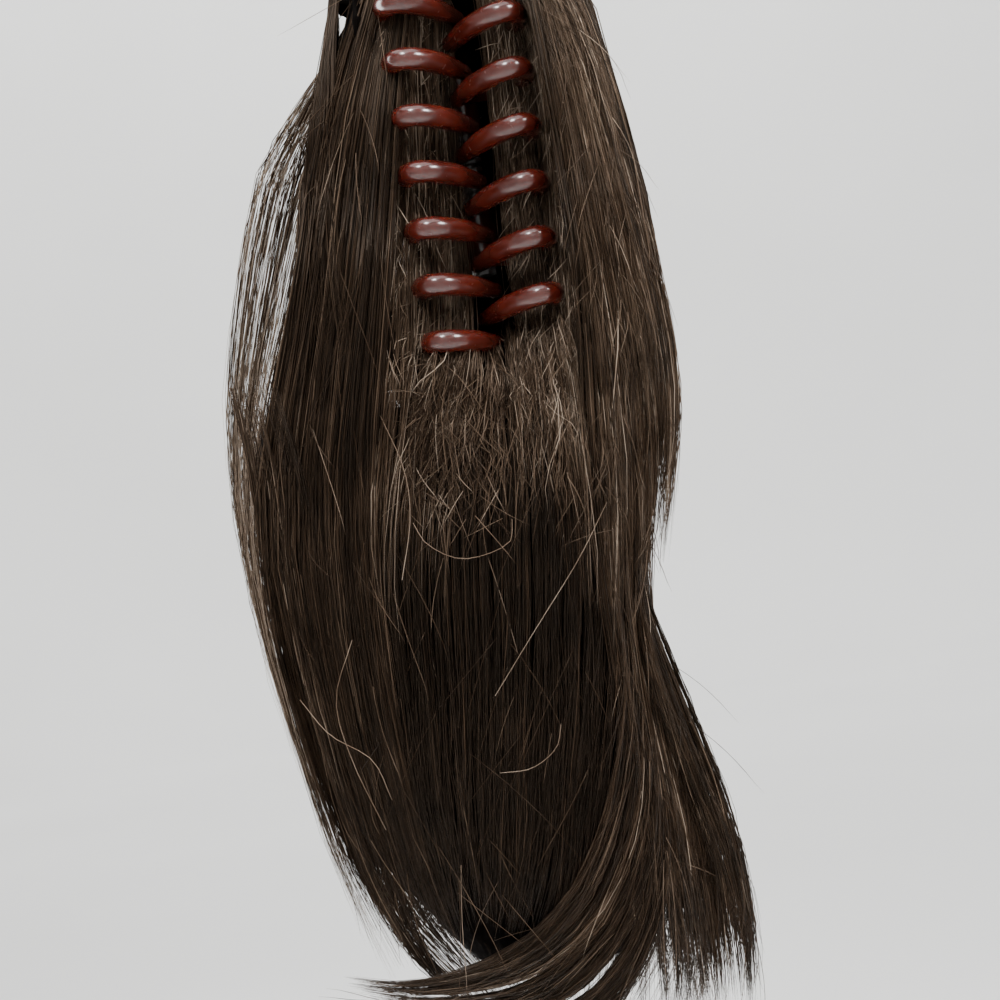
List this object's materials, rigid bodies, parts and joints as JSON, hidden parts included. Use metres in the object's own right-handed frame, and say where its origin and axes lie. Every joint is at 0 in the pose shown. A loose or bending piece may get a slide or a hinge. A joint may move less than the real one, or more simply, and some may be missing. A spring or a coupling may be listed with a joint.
{
  "type": "ponytail hairpiece on a claw clip",
  "caption": "Short straight ponytail hairpiece sewn round a hinged claw clip with meshing hooked teeth.",
  "frame": {"origin": "centre of the clip's grip, between the jaws at the middle of their length, where it closes on the wearer's own hair", "axes": "+Z along the clip's hinge axis, from the tail's ends to the crown; -Y the way the clip's teeth face, towards the wearer's head; +X to the right as the teeth are looked at"},
  "size_m": [0.0785, 0.0732, 0.2045],
  "materials": {
    "mahogany_plastic": "translucent, polished",
    "dark_brown_hair": "straight fibre, silky",
    "outer_hair": "straight fibre, silky",
    "spring_steel": "plain"
  },
  "bodies": {
    "hair": {"tail_hair": "dark_brown_hair", "crown_hair": "dark_brown_hair", "back_hair": "outer_hair", "hinge_pin": "spring_steel", "spring_coil": "spring_steel"},
    "left_half": {"left_jaw": "mahogany_plastic", "left_cover_hair": "dark_brown_hair"},
    "right_half": {"right_jaw": "mahogany_plastic", "right_cover_hair": "dark_brown_hair"}
  },
  "joints": [
    {"name": "left_jaw_opens", "type": "hinge", "parent": "hair", "child": "left_half", "pos_m": [0, 0.01, 0], "axis": [0, 0, -1], "range_deg": [0, 32], "stiffness_Nm_per_rad": 0.3, "springref_deg": -28.65},
    {"name": "right_jaw_opens", "type": "hinge", "parent": "hair", "child": "right_half", "pos_m": [0, 0.01, 0], "axis": [0, 0, 1], "range_deg": [0, 32], "stiffness_Nm_per_rad": 0.3, "springref_deg": -28.65}
  ],
  "couplings": [
    {"joint": "right_jaw_opens", "follows": "left_jaw_opens", "ratio": 1}
  ]
}
